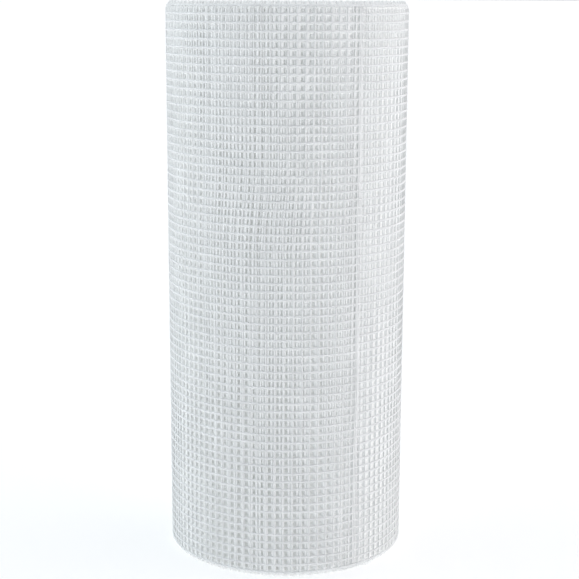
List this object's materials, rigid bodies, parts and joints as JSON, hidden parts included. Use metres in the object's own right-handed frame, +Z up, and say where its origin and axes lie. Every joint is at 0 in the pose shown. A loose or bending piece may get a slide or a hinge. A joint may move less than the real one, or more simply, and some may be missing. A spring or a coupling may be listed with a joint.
{
  "type": "roll of fiberglass mesh",
  "caption": "Roll of white open-weave fiberglass mesh, wound on itself into a thick tube that stands on its end, with square openings all round and an open bore through it.",
  "frame": {"origin": "centre of the end that the roll stands on", "axes": "+Z up along the roll's axis; -Y towards the side that the picture shows, +X to its right"},
  "size_m": [0.155, 0.155, 0.355],
  "materials": {
    "fiberglass_mesh": "white glass yarn with a thin semi-gloss coating"
  },
  "bodies": {
    "root": {"mesh_roll": "fiberglass_mesh"}
  },
  "joints": []
}
